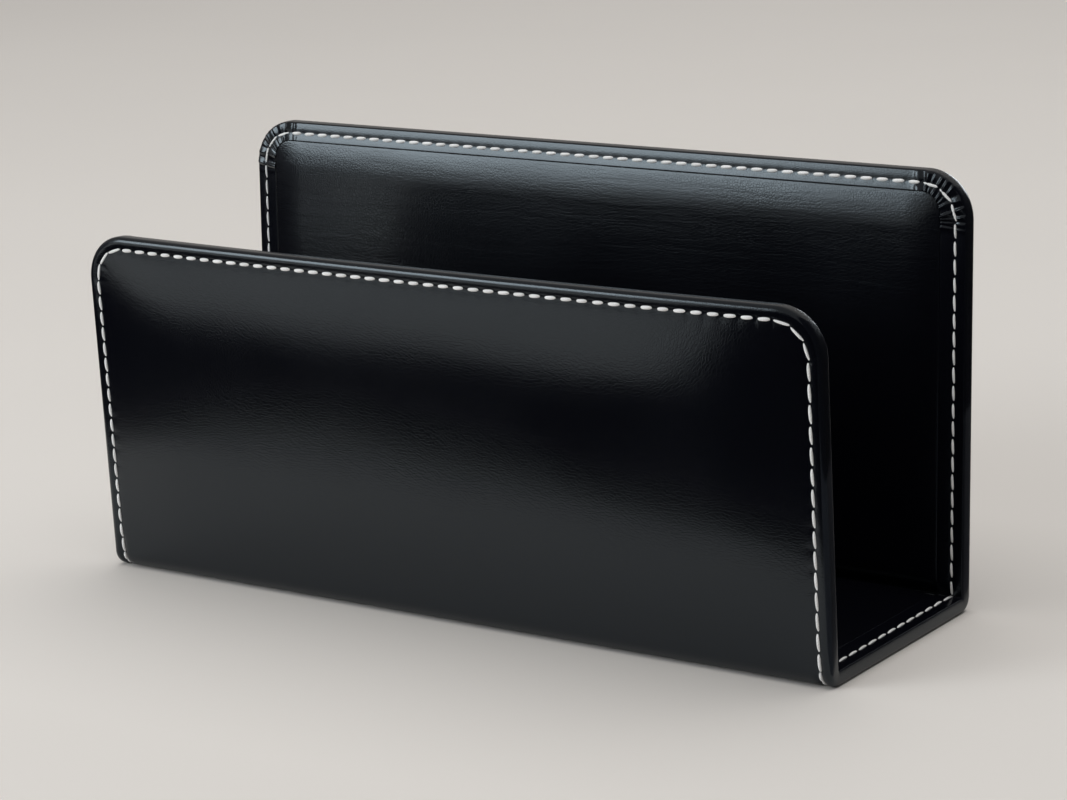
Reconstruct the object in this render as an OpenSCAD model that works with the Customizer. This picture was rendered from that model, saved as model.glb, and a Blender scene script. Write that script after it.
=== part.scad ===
// Letter holder: a low front wall, a base and a taller back wall, folded as one U.
// Boards and thin pads stand between an outer leather and a lining. The outer leather is turned
// in over every edge, and one row of stitches runs round the whole edge through all the layers.

/* [Overall] */
// Width of the holder
holder_w = 190; // [130:1:280]
// Depth over both walls, at the height of the bend centres
base_d = 60; // [45:1:110]
// Height of the front wall above the table
front_h = 78.5; // [60:0.5:130]
// Height of the back wall above the table
back_h = 94.5; // [65:0.5:160]
// Outward lean of the front wall in degrees
front_lean = 1.2; // [0:0.1:6]
// Outward lean of the back wall in degrees
back_lean = 2.8; // [0:0.1:6]
// Radius of the four top corners
corner_r = 10.5; // [8.5:0.5:16]
// Outer radius of the bends between base and walls
bend_r = 5; // [4.5:0.25:9]

/* [Layers] */
// Thickness of the outer leather
cover_t = 0.9; // [0.85:0.05:1.1]
// Thickness of the boards
board_t = 1; // [0.8:0.1:1.4]
// Thickness of the lining leather
lining_t = 0.6; // [0.4:0.05:0.9]
// How much thinner both leathers are drawn in the fold, on each face
fold_ease = 0.02; // [0.01:0.005:0.03]
// How far a leather wall runs on past the end of its bend
fold_lap = 0.2; // [0.1:0.05:0.25]

/* [Turned edges] */
// Rounding of the finished edge
edge_r = 1.1; // [0.8:0.05:1.5]
// Width of the leather turned in along the edges
turn_w = 5; // [4.2:0.1:7]
// Number of gathers where the leather is turned in at a rounded corner
gather_count = 8; // [3:1:12]
// Width of the crease between two gathers
crease_w = 0.35; // [0.2:0.05:0.5]
// Depth of the crease between two gathers
crease_depth = 0.3; // [0.1:0.05:0.5]
// From the rounded edge to the creases
crease_start = 0.4; // [0.2:0.1:0.8]

/* [Padding] */
// Swell of the front and back outer faces
outer_rise = 1.4; // [0.6:0.1:2.5]
// Width of the rounded shoulder round an outer face
outer_shoulder = 18; // [8:1:24]
// From the stitch row to the padding of an outer face
outer_margin = 1.4; // [0.8:0.1:3]
// Swell of the inner faces
inner_rise = 0.9; // [0.4:0.1:1.3]
// Width of the rounded shoulder round an inner face
inner_shoulder = 5; // [3:0.5:14]
// Slit between the turned-in leather and the padded lining
lining_slit = 0.3; // [0.1:0.1:1]
// From the bend to the padding of a wall or base
pad_foot = 1; // [0.5:0.5:4]
// Thickness of the padding at its rim
pad_lip = 0.12; // [0.08:0.02:0.2]

/* [Board joints] */
// Length of the lap between a board and a bend strip
lap_len = 5; // [3:0.5:12]
// Glue space at the end of a lap
lap_gap = 0.2; // [0.1:0.1:0.5]

/* [Stitching] */
// From the edge to the stitch row
stitch_inset = 2.8; // [2.2:0.1:3.2]
// Aimed distance between stitches
stitch_pitch = 3.85; // [3:0.05:6]
// Share of the pitch that one stitch fills
stitch_share = 0.7; // [0.5:0.05:0.85]
// Diameter of the thread
thread_d = 0.75; // [0.5:0.05:0.75]
// How far the stitches stand out of the wall faces
thread_proud = 0.3; // [0.05:0.05:0.35]
// Space between the thread and its groove
thread_gap = 0.04; // [0.02:0.01:0.06]

/* [Hidden] */

FRONT = 0;
BACK = 1;
SIDES = [FRONT, BACK];
LEFT_RIGHT = [0, 1];
RIGHT_ANGLE = 90;
round_fn = 64;
corner_steps = 16;
shoulder_fn = 720;

LEATHER = [0.06, 0.06, 0.07];
LINING = [0.09, 0.09, 0.1];
THREAD = [0.93, 0.92, 0.88];
FIBREBOARD = [0.55, 0.43, 0.3];
STRIP = [0.4, 0.36, 0.3];
FOAM = [0.75, 0.72, 0.62];

// Depths below the outer face at which the layers begin and end
board_top = cover_t;
board_mid = cover_t + board_t / 2;
lining_top = cover_t + board_t;
turn_start = lining_top + lining_t;
rim_t = turn_start + cover_t;

// Flat length of the base between the two bends
base_flat = base_d - 2 * bend_r;
// Height of the bend centres, with the eased underside on the table
bend_z = bend_r - fold_ease;
// Radius of the inner corner of the turned-in leather
turn_r = corner_r - turn_w;
// Depth of the stitch centres: standing out of the walls, flush in the bends and the underside
outer_seat = thread_d / 2 - thread_proud;
flush_seat = fold_ease + thread_d / 2;
inner_seat = rim_t - outer_seat;
// Part of a swelling that reaches into the layer that it stands on
swell_root = lining_t / 4;

function lean(side) = side == FRONT ? front_lean : back_lean;
function wall_h(side) = side == FRONT ? front_h : back_h;
// Slant length of a wall from the end of its bend to its top edge
function wall_len(side) = (wall_h(side) - bend_z + bend_r * sin(lean(side))) / cos(lean(side));
function bend_angle(side) = RIGHT_ANGLE - lean(side);
function stitch_count(run) = max(1, round(run / stitch_pitch));
function arc_len(r, angle) = r * angle * PI / 180;
function unit(angle) = [cos(angle), sin(angle)];

// Frame of a wall: its bend centre is the origin, the wall rises along Z and faces out along -Y
module wall_frame(side) {
    mirror([0, side, 0])
        translate([0, bend_r - base_d / 2, bend_z])
            rotate([lean(side), 0, 0])
                children();
}

// Frame of a bend: its centre line is Z, and turns about it run from the base to the wall
module bend_frame(side) {
    mirror([0, side, 0])
        translate([0, bend_r - base_d / 2, bend_z])
            rotate([2 * RIGHT_ANGLE, RIGHT_ANGLE, 0])
                children();
}

// Frame of the base: X runs along the width, Y from the front bend, Z upwards from the outer face
module base_frame() {
    translate([0, -base_flat / 2, -fold_ease])
        children();
}

module left_and_right() {
    for (m = LEFT_RIGHT)
        mirror([m, 0, 0])
            children();
}

// Flat outline of a wall, its two top corners rounded
module wall_outline(w, h, r) {
    quarter = [for (i = [0 : corner_steps]) r * unit(i * RIGHT_ANGLE / corner_steps)];
    right = [for (p = quarter) [w / 2 - r + p[0], h - r + p[1]]];
    left = [for (p = quarter) [r - w / 2 - p[1], h - r + p[0]]];
    polygon(concat([[-w / 2, 0], [w / 2, 0]], right, left));
}

// Sheet between two depths, in the frame of a wall, that runs on below the end of the bend
module wall_sheet(side, from, to, inset, lap) {
    translate([0, to - bend_r, -lap])
        rotate([RIGHT_ANGLE, 0, 0])
            linear_extrude(to - from)
                wall_outline(holder_w - 2 * inset, wall_len(side) - inset + lap, corner_r - inset);
}

// Sheet between two depths, in the frame of a bend
module bend_sheet(side, from, to, inset) {
    rotate_extrude(angle = bend_angle(side), $fn = round_fn)
        translate([bend_r - to, inset - holder_w / 2])
            square([to - from, holder_w - 2 * inset]);
}

// Sheet between two depths, in the frame of the base
module base_sheet(from, to, inset) {
    translate([inset - holder_w / 2, 0, from])
        cube([holder_w - 2 * inset, base_flat, to - from]);
}

// Groove that a row of stitches lies in, open towards lower depths or, turned, towards higher ones
module groove_section(depth, turned, ease) {
    groove_r = thread_d / 2 + thread_gap + ease;
    translate([stitch_inset, depth]) {
        circle(groove_r, $fn = round_fn);
        mirror([0, turned])
            translate([-groove_r, -cover_t])
                square([2 * groove_r, cover_t]);
    }
}

// Section of the cover across an edge, drawn with the distance from the edge to the right and the
// depth below the outer face upwards. Boards and lining fill the pocket under the turned-in part.
module cover_section(reach, stitch_depth, ease) {
    difference() {
        union() {
            translate([ease, edge_r])
                square([edge_r - ease, rim_t - 2 * edge_r]);
            for (depth = [edge_r, rim_t - edge_r])
                translate([edge_r, depth])
                    circle(edge_r - ease, $fn = round_fn);
            translate([edge_r, ease])
                square([turn_w - ease - edge_r, rim_t - 2 * ease]);
            translate([edge_r, ease])
                square([reach - edge_r, cover_t - 2 * ease]);
        }
        translate([edge_r - ease, cover_t - ease])
            square([turn_w, turn_start - cover_t + 2 * ease]);
        groove_section(stitch_depth, 0, ease);
        groove_section(inner_seat, 1, ease);
    }
}

// The cover's section across the whole width, centred on X
module cover_across(stitch_depth, ease) {
    for (m = LEFT_RIGHT)
        mirror([m, 0])
            translate([holder_w / 2, 0])
                mirror([1, 0])
                    cover_section(holder_w / 2, stitch_depth, ease);
}

// Cover of a wall below its rounded corners
module cover_wall(side) {
    translate([0, -bend_r, -fold_lap])
        linear_extrude(wall_len(side) - corner_r + fold_lap)
            cover_across(outer_seat, 0);
}

// Cover along the top of a wall and round its two corners
module cover_top(side) {
    run = holder_w - 2 * corner_r;
    translate([-run / 2, 0, 0])
        rotate([RIGHT_ANGLE, 0, RIGHT_ANGLE])
            linear_extrude(run)
                translate([-bend_r, wall_len(side)])
                    rotate(-RIGHT_ANGLE)
                        cover_section(corner_r, outer_seat, 0);
    left_and_right()
        translate([holder_w / 2 - corner_r, 0, wall_len(side) - corner_r])
            rotate([RIGHT_ANGLE, 0, 0])
                rotate_extrude(angle = RIGHT_ANGLE, $fn = round_fn)
                    translate([corner_r, bend_r])
                        rotate(2 * RIGHT_ANGLE)
                            cover_section(corner_r, outer_seat, 0);
}

// Cover of the base and of both bends
module cover_fold() {
    base_frame()
        translate([0, base_flat, 0])
            rotate([RIGHT_ANGLE, 0, 0])
                linear_extrude(base_flat)
                    cover_across(flush_seat, fold_ease);
    for (side = SIDES)
        bend_frame(side)
            rotate_extrude(angle = bend_angle(side), $fn = round_fn)
                translate([bend_r, 0])
                    rotate(RIGHT_ANGLE)
                        cover_across(flush_seat, fold_ease);
}

// Creases between the gathers, fanned about each top corner of the turned-in leather
module gather_creases() {
    outer_end = corner_r - edge_r - crease_start;
    inner_end = turn_r - crease_start;
    for (side = SIDES)
        wall_frame(side)
            left_and_right()
                translate([holder_w / 2 - corner_r, rim_t - bend_r, wall_len(side) - corner_r])
                    for (i = [0 : gather_count - 1])
                        rotate([0, -(i + 0.5) * RIGHT_ANGLE / gather_count, 0])
                            translate([inner_end, -crease_depth, -crease_w / 2])
                                cube([outer_end - inner_end, 2 * crease_depth, crease_w]);
}

// Section of a swelling: flat in the middle, a round shoulder up from a thin rim at each end, and a
// root below zero
module swell_section(run, rise, shoulder, root) {
    crown = rise - pad_lip;
    shoulder_r = (shoulder * shoulder + crown * crown) / (2 * crown);
    intersection() {
        translate([0, -root])
            square([run, rise + root]);
        union() {
            translate([shoulder, -root])
                square([run - 2 * shoulder, rise + root]);
            for (x = [shoulder, run - shoulder])
                translate([x, rise - shoulder_r])
                    circle(shoulder_r, $fn = shoulder_fn);
        }
    }
}

// Swelling of w by h on the plane y = 0 that stands out along -Y, shouldered on all four sides
module swell(w, h, rise, shoulder, root) {
    intersection() {
        translate([-w / 2, 0, 0])
            rotate([RIGHT_ANGLE, 0, RIGHT_ANGLE])
                linear_extrude(w)
                    rotate(RIGHT_ANGLE)
                        swell_section(h, rise, shoulder, root);
        translate([-w / 2, 0, 0])
            linear_extrude(h)
                mirror([0, 1])
                    swell_section(w, rise, shoulder, root);
    }
}

// Swelling of a wall face with rounded top corners, from the foot of the padding to height h
module wall_swell(w, h, r, rise, shoulder, root) {
    intersection() {
        translate([0, 0, pad_foot])
            swell(w, h - pad_foot, rise, shoulder, root);
        translate([0, root, 0])
            rotate([RIGHT_ANGLE, 0, 0])
                linear_extrude(rise + root)
                    wall_outline(w, h, r);
    }
}

// Swelling of an outer face, on the given depth below that face
module outer_swell(side, depth, root) {
    inset = stitch_inset + outer_margin;
    w = holder_w - 2 * inset;
    h = wall_len(side) - inset;
    wall_frame(side)
        translate([0, depth - bend_r, 0])
            wall_swell(w, h, corner_r - inset, outer_rise, outer_shoulder, root);
}

// Swelling of the lining on a wall, inside the turned-in leather
module inner_swell(side, depth, root) {
    inset = turn_w + lining_slit;
    w = holder_w - 2 * inset;
    h = wall_len(side) - inset;
    wall_frame(side)
        translate([0, depth - bend_r, 0])
            mirror([0, 1, 0])
                wall_swell(w, h, corner_r - inset, inner_rise, inner_shoulder, root);
}

// Swelling of the lining on the base
module base_swell(depth, root) {
    w = holder_w - 2 * (turn_w + lining_slit);
    run = base_flat - 2 * pad_foot;
    base_frame()
        translate([0, pad_foot + run, depth])
            rotate([RIGHT_ANGLE, 0, 0])
                mirror([0, 1, 0])
                    swell(w, run, inner_rise, inner_shoulder, root);
}

// Row of straight stitches along Z from the origin
module stitch_run(run) {
    count = stitch_count(run);
    step = run / count;
    for (i = [0 : count - 1])
        translate([0, 0, (i + (1 - stitch_share) / 2) * step])
            cylinder(h = stitch_share * step, d = thread_d, $fn = round_fn);
}

// Row of bent stitches about Z, turned from the X axis
module stitch_arc(r, angle, count) {
    step = angle / count;
    for (i = [0 : count - 1])
        rotate([0, 0, (i + (1 - stitch_share) / 2) * step])
            rotate_extrude(angle = stitch_share * step, $fn = round_fn)
                translate([r, 0])
                    circle(d = thread_d, $fn = round_fn);
}

module wall_stitches(side, depth) {
    top_run = holder_w - 2 * corner_r;
    side_run = wall_len(side) - corner_r;
    row_r = corner_r - stitch_inset;
    wall_frame(side)
        translate([0, depth - bend_r, 0]) {
            translate([-top_run / 2, 0, wall_len(side) - stitch_inset])
                rotate([0, RIGHT_ANGLE, 0])
                    stitch_run(top_run);
            left_and_right() {
                translate([holder_w / 2 - stitch_inset, 0, 0])
                    stitch_run(side_run);
                translate([holder_w / 2 - corner_r, 0, side_run])
                    rotate([RIGHT_ANGLE, 0, 0])
                        stitch_arc(row_r, RIGHT_ANGLE, stitch_count(arc_len(row_r, RIGHT_ANGLE)));
            }
        }
}

// Both threads meet in the same needle holes, so the outer arc sets the count
module bend_stitches(side, depth) {
    count = stitch_count(arc_len(bend_r, bend_angle(side)));
    left_and_right()
        bend_frame(side)
            translate([0, 0, holder_w / 2 - stitch_inset])
                stitch_arc(bend_r - depth, bend_angle(side), count);
}

module base_stitches(depth) {
    left_and_right()
        base_frame()
            translate([holder_w / 2 - stitch_inset, base_flat, depth])
                rotate([RIGHT_ANGLE, 0, 0])
                    stitch_run(base_flat);
}

// Outer leather with its turned-in edge, its padded faces and both stitch grooves
module outer_cover() {
    color(LEATHER)
        difference() {
            union() {
                cover_fold();
                for (side = SIDES) {
                    wall_frame(side) {
                        cover_wall(side);
                        cover_top(side);
                    }
                    outer_swell(side, 0, swell_root);
                }
            }
            for (side = SIDES)
                outer_swell(side, cover_t, swell_root);
            gather_creases();
        }
}

// Lining leather, its margin under the turned-in edge
module inner_lining() {
    fold_top = lining_top + fold_ease;
    fold_end = turn_start - fold_ease;
    fold_inset = edge_r + fold_ease;
    color(LINING)
        difference() {
            union() {
                union() {
                    for (side = SIDES)
                        bend_frame(side)
                            bend_sheet(side, fold_top, fold_end, fold_inset);
                    base_frame()
                        base_sheet(fold_top, fold_end, fold_inset);
                }
                for (side = SIDES) {
                    wall_frame(side)
                        wall_sheet(side, lining_top, turn_start, edge_r, fold_lap);
                    inner_swell(side, turn_start, swell_root);
                }
                base_swell(fold_end, swell_root);
            }
            for (side = SIDES)
                inner_swell(side, lining_top, swell_root);
            base_swell(fold_top, swell_root);
        }
}

module outer_thread() {
    color(THREAD) {
        for (side = SIDES) {
            wall_stitches(side, outer_seat);
            bend_stitches(side, flush_seat);
        }
        base_stitches(flush_seat);
    }
}

module inner_thread() {
    color(THREAD) {
        for (side = SIDES) {
            wall_stitches(side, inner_seat);
            bend_stitches(side, inner_seat);
        }
        base_stitches(inner_seat);
    }
}

// Board of a wall, thinned at its foot for the lap of the bend strip
module wall_board(side) {
    color(FIBREBOARD)
        wall_frame(side)
            difference() {
                wall_sheet(side, board_top, lining_top, edge_r, 0);
                translate([-holder_w / 2, board_mid - bend_r, -lap_len])
                    cube([holder_w, board_t, 2 * lap_len]);
            }
}

module front_board() {
    wall_board(FRONT);
}

module back_board() {
    wall_board(BACK);
}

// Board of the base, thinned at both ends for the laps
module base_board() {
    color(FIBREBOARD)
        base_frame()
            difference() {
                base_sheet(board_top, lining_top, edge_r);
                for (y = [0, base_flat])
                    translate([-holder_w / 2, y - lap_len, board_mid])
                        cube([holder_w, 2 * lap_len, board_t]);
            }
}

// Strip round a bend with a thin tongue lapped onto each of the two boards
module bend_strip(side) {
    strip_w = holder_w - 2 * edge_r;
    tongue_len = lap_len - lap_gap;
    tongue_t = lining_top - board_mid;
    color(STRIP) {
        union() {
            bend_frame(side)
                bend_sheet(side, board_top, lining_top, edge_r);
            mirror([0, side, 0])
                base_frame()
                    translate([-strip_w / 2, 0, board_mid])
                        cube([strip_w, tongue_len, tongue_t]);
        }
        wall_frame(side)
            translate([fold_ease - strip_w / 2, board_mid - bend_r, -fold_lap])
                cube([strip_w - 2 * fold_ease, tongue_t - fold_ease, tongue_len + fold_lap]);
    }
}

module front_bend_strip() {
    bend_strip(FRONT);
}

module back_bend_strip() {
    bend_strip(BACK);
}

module front_outer_pad() {
    color(FOAM)
        outer_swell(FRONT, cover_t, 0);
}

module back_outer_pad() {
    color(FOAM)
        outer_swell(BACK, cover_t, 0);
}

module front_inner_pad() {
    color(FOAM)
        inner_swell(FRONT, lining_top, 0);
}

module base_inner_pad() {
    color(FOAM)
        base_swell(lining_top, 0);
}

module back_inner_pad() {
    color(FOAM)
        inner_swell(BACK, lining_top, 0);
}

outer_cover();
inner_lining();
outer_thread();
inner_thread();
front_board();
base_board();
back_board();
front_bend_strip();
back_bend_strip();
front_outer_pad();
back_outer_pad();
front_inner_pad();
base_inner_pad();
back_inner_pad();
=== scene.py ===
"""Letter holder in black leather: a low front wall, a base and a taller back wall, folded as one U.

The packed solids are the frame. The two leathers, both rows of stitches, the pads, the bend strips
and the bowed front board are made here, and the other two boards get their finish.
Lengths are in metres unless a comment says mm.
"""

import functools
import math
from collections import namedtuple

import bpy
import numpy as np
from mathutils import Matrix, Vector


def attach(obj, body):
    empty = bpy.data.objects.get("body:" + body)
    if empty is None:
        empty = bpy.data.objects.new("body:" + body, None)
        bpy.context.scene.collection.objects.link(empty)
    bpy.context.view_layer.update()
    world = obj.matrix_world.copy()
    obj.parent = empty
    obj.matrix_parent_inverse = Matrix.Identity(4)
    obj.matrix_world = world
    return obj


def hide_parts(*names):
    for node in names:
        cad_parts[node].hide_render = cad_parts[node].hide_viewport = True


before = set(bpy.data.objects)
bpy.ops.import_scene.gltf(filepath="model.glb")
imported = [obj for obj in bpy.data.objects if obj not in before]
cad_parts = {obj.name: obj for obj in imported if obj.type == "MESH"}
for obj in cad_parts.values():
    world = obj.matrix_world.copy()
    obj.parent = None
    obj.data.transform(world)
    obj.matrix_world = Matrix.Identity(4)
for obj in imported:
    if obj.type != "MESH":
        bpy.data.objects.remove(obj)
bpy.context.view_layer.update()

bl_info = {
    "name": "Letter Holder",
    "version": (1, 0, 0),
    "blender": (4, 5, 0),
    "location": "View3D > Sidebar > Letter Holder",
    "description": "Builds a leather letter holder round its packed solids",
    "category": "Object",
}

BODY = "root"
PHOTO_WIDTH = 1067
SENSOR_WIDTH = 36.0

# Parts of a loop round the blank, in order
FRONT_TOP, FRONT_RIGHT, RIGHT, BACK_RIGHT, BACK_TOP, BACK_LEFT, LEFT, FRONT_LEFT = range(8)

# Segments of the finest loops: along a top edge, down a side by stretch, and round a corner
TOP_SEGMENTS = (16, 232, 16)
SIDE_SEGMENTS = (12, 88, 40, 80, 40, 112, 12)
CORNER_SEGMENTS = 24
PLEAT_SEGMENTS = 96

# Coarser loops: steps along the edges, and segments of a corner
MIDDLE_STEP = 2
COARSE_STEP = 4
COARSE_CORNER = 6

# Finer stretches of a loop beside the top corners
TOP_BESIDE = 0.004
SIDE_BESIDE = 0.003

# Bow of the front wall, fading of reliefs at the bends, and the foot of the padded walls
BOW_POWER = 1.6
WALL_FADE = 0.006
BEND_FADE = 0.004
BEND_PADDING = 0.25
FOOT_GAP = 0.001
FOOT_STRETCH = 1.3

# Waves of leather stretched by hand: radians per metre across and along, phase and share
RIPPLE_HEIGHT = 0.000022
RIPPLES = (
    (61.0, 143.0, 0.3, 1.0),
    (-118.0, 87.0, 1.9, 0.8),
    (205.0, 61.0, 4.1, 0.5),
    (37.0, -231.0, 2.6, 0.5),
)
RIPPLE_START = 0.006
LINING_RIPPLE = 0.8
LINING_SHIFT = 0.05

# Dents at the row of stitches, and the bead and the pillow between the row and the edge
HOLE_LENGTH = 0.0006
ROW_WIDTH = 0.0007
INNER_ROW_WIDTH = 0.0006
TUCK_INSIDE = 0.0016
TUCK_OUTSIDE = 0.0008
GROOVE_SHARE = 0.9
INNER_HOLE_SHARE = 0.5
BEAD_GAP = 0.00015
BEAD_WIDTH = 0.00125
PILLOW_HEIGHT = 0.00006
PILLOW_START = 0.0006
PILLOW_END = 0.0012
PILLOW_FADE = 0.0015

# Pleats: crest of a fold and its drift, how far they run past a corner and fade, loss at the row
PLEAT_CREST = 0.68
PLEAT_DRIFT = 0.14
PLEAT_OVERRUN = 0.16
PLEAT_FADE = 0.12
PLEAT_AT_ROW = 0.55
PLEAT_LEAD = 0.0004
PLEAT_GROWTH = 0.0012

# Unevenness of the pleats: phase of the left and the front corners, then sizes and rates of waves
LEFT_PHASE = 1.7
FRONT_PHASE = 3.1
SWAY = 0.035
SWAY_RATE = 9.0
FAR_SWAY = 0.04
FAR_SWAY_RATE = 14.0
DRIFT_RATE = 2.4
FOLD_POWER = 1.4
FOLD_SIZE = 0.8
FOLD_VARIATION = 0.4
FOLD_RATE = 1.9

# Loops of the outer face: coarse ones with inset, step and corner segments, fine ones by inset in mm
COARSE_FACE = ((0.0090, 4, 6), (0.0077, 2, 12), (0.0066, 2, 12))
FINE_FACE = (5.6, 4.8, 4.2, 3.7, 3.3, 3.05, 2.8, 2.55, 2.3, 2.0, 1.7, 1.45, 1.3)

# Inner side of the edge: share of the rim's depth and of the crown, then turns of its roll in degrees
RIM_STEPS = ((0.42, 0.0), (0.56, 0.2), (0.70, 0.5))
ROLL_TURNS = (0, 18, 36, 54, 72)

# Turned-in band: insets in mm, where they end, and its rounded cut
BAND = (0.53, 0.75, 1.05, 1.4, 1.8, 2.15, 2.4, 2.6, 2.8, 3.0, 3.2, 3.6)
BAND_END = 0.0036
CUT_ROUND = 0.00007
CUT_SHARES = (0.3, 0.6, 0.85, 1.0)
CUT_TURNS = (35, 65, 90)

# Underside of the band: distance back from the cut, step and corner segments
UNDERSIDE = ((0.0, 1, 96), (0.0003, 1, 48), (0.0007, 2, 24), (0.0013, 4, 12), (0.002, 4, 6))

# Inset of a loop of the cover's inner face, and of one of the lining's inner face
COVER_INNER_LOOP = 0.006
LINING_INNER_LOOP = 0.0093

# Lining under the band: its loops past and short of the cut, then distance back and corner segments
LINING_PAST = 0.002
LINING_SHORT = 0.0006
LINING_MARGIN = ((0.001, 12), (-0.00002, 24))

# Lining beside the cut: distance out in mm and share of its rise
LINING_RISE = (
    (0.03, 0.5),
    (0.05, 0.87),
    (0.08, 0.955),
    (0.14, 0.985),
    (0.3, 0.996),
    (0.9, 1.0),
    (2.6, 1.0),
)

# Boards and pads
BOARD_LAP = 0.005
PAD_LIP = 0.00006
PAD_FOOT = 0.001
OUTER_PAD_GAP = 0.0008
INNER_PAD_GAP = 0.0006

# Points of the boards, strips and pads
PLATE_TURN = 9
PLATE_DOWN = 30
PLATE_ACROSS = 61
STRIP_ROUND = 13
STRIP_ACROSS = 41
BASE_DOWN = 21

# Leathers: roughness where dull and bright, stretch, fineness and share of the creases, relief
COVER_LOOK = (0.20, 0.15, (1, 1, 1), 330.0, 0.34, 0.17)
LINING_LOOK = (0.22, 0.17, (0.10, 1, 1), 450.0, 1.9, 0.28)
GRAIN_SCALE = 1500.0
GRAIN_DEPTH = 0.00009
# Darkest and lightest share of the leather colour, spread by random clouds and by painted shade in the
# creases
LEATHER_SHADES = (0.7, 1.3)
LEATHER_IOR = 1.52
LEATHER_TINT = (0.80, 0.92, 1.0, 1)

# Fibrous stuffs: scales of the fibres and flecks, and roughness
BOARD_LOOK = (700.0, 2200.0, 0.85)
STRIP_LOOK = (1100.0, 3000.0, 0.8)
FOAM_LOOK = (900.0, 1500.0, 0.95)
FIBRE_SHADES = (0.6, 1.35)
FIBRE_DEPTH = 0.00012

# Thread: waves of the ply in one turn, darkest and lightest share of its colour (random tone of each
# stitch and painted shade in the grooves of the ply), and depth of the ply
PLY_RATE = 6 * math.pi
THREAD_SHADES = (0.80, 1.06)
PLY_DEPTH = 0.00008

# Kinds of node sockets
NUMBER = "NodeSocketFloat"
VECTOR = "NodeSocketVector"
SHAPE = "NodeSocketGeometry"

# Thickness of the thread where it is drawn tight, as a share of that along the tops
CORNER_GIRTH = 0.76
SIDE_GIRTH = 0.86
INNER_SIDE_GIRTH = 0.68

# Stitches: dip of their ends, turns of the ply, shares of the length, probe for the normal, seed
STITCH_END_DIP = 0.0003
STITCH_TWIST = 2.0
STITCH_LENGTHS = (0.95, 1.05)
NORMAL_PROBE = 0.001
THREAD_SEED = 7

# Outer face rolling over to the edge: inset and fall in mm
EDGE_ROLL = (
    (1.20, 0.003),
    (1.05, 0.016),
    (0.90, 0.041),
    (0.75, 0.081),
    (0.60, 0.134),
    (0.45, 0.207),
    (0.32, 0.296),
    (0.20, 0.416),
    (0.10, 0.568),
    (0.03, 0.752),
    (0.0, 1.0),
)

# Ground lines of the cards that the gloss shows: x, y and height at each point
FRONT_CARD = (
    (-0.300, 0.010, 0.075),
    (-0.220, -0.050, 0.068),
    (-0.175, -0.088, 0.053),
    (-0.143, -0.119, 0.0405),
    (-0.085, -0.120, 0.035),
    (-0.020, -0.108, 0.0375),
    (0.018, -0.103, 0.0415),
    (0.046, -0.103, 0.085),
    (0.070, -0.103, 0.105),
    (0.200, -0.103, 0.110),
)
LEFT_CARD = (
    (-0.300, 0.010, 0.105),
    (-0.220, -0.050, 0.105),
    (-0.172, -0.091, 0.105),
)
RIGHT_CARD = (
    (0.101, -0.080, 0.110),
    (0.101, 0.060, 0.110),
    (0.160, 0.300, 0.110),
)
RIGHT_CARD_SPLIT = 0.042
RIGHT_LOW_CARD = tuple((x, y, RIGHT_CARD_SPLIT) for x, y, tall in RIGHT_CARD)

# Cards: ground line, tone and height of the foot
CARDS = {
    "front_card": (FRONT_CARD, 0.004, 0.0005),
    "left_card": (LEFT_CARD, 0.30, 0.058),
    "right_low_card": (RIGHT_LOW_CARD, 0.34, 0.0005),
    "right_card": (RIGHT_CARD, 0.06, RIGHT_CARD_SPLIT),
}

# Lamps: colours, then softboxes seen in the gloss with height, tallness and glow
WARM = (1.0, 0.99, 0.97)
COOL = (0.92, 0.97, 1.0)
GLOSS_BOXES = (
    ("low_softbox", 0.16, 0.14, 0.9),
    ("middle_softbox", 0.30, 0.14, 5.2),
    ("high_softbox", 0.52, 0.30, 6.5),
)
GLOSS_BOX_X = -0.71
GLOSS_BOX_Y = -0.851
GLOSS_BOX_WIDTH = 0.53
GLOSS_BOX_DIP = 0.12
FLOOR_HALF = 1.8

# Other lamps: place, aim, width and height, and power
CEILING = ((0.0, 0.3, 1.7), (0, 0.3, 0), (2.6, 2.6), 41.0)
FILL = ((-0.6, -1.1, 0.7), (0, 0, 0.05), (0.8, 0.8), 4.0)
BACK_RIM = ((0.06, 0.95, 0.32), (0, 0, 0.08), (0.50, 0.20), 2.2)

# Kinds of values that a user can change
Length = functools.partial(bpy.props.FloatProperty, unit="LENGTH", precision=5)
Angle = functools.partial(bpy.props.FloatProperty, subtype="ANGLE")
Share = functools.partial(bpy.props.FloatProperty, subtype="FACTOR")
Colour = functools.partial(bpy.props.FloatVectorProperty, subtype="COLOR")


class HolderShape(bpy.types.PropertyGroup):
    """Main sizes of the folded holder."""

    width: Length(name="Width", description="Width of the holder", default=0.190)
    base_depth: Length(name="Base depth", description="Depth over both walls at the bends", default=0.060)
    front_height: Length(name="Front height", description="Height of the front wall", default=0.0785)
    back_height: Length(name="Back height", description="Height of the back wall", default=0.0945)
    front_lean: Angle(
        name="Front lean", description="Outward lean of the front wall", default=math.radians(1.2)
    )
    back_lean: Angle(
        name="Back lean", description="Outward lean of the back wall", default=math.radians(2.8)
    )
    front_bow: Length(
        name="Front bow",
        description="How far the middle of the front wall's top edge bows outwards",
        default=0.0018,
    )
    corner_radius: Length(
        name="Corner radius", description="Radius of the four top corners", default=0.0105
    )
    bend_radius: Length(
        name="Bend radius",
        description="Outer radius of the bends between base and walls",
        default=0.0036,
    )


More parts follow.
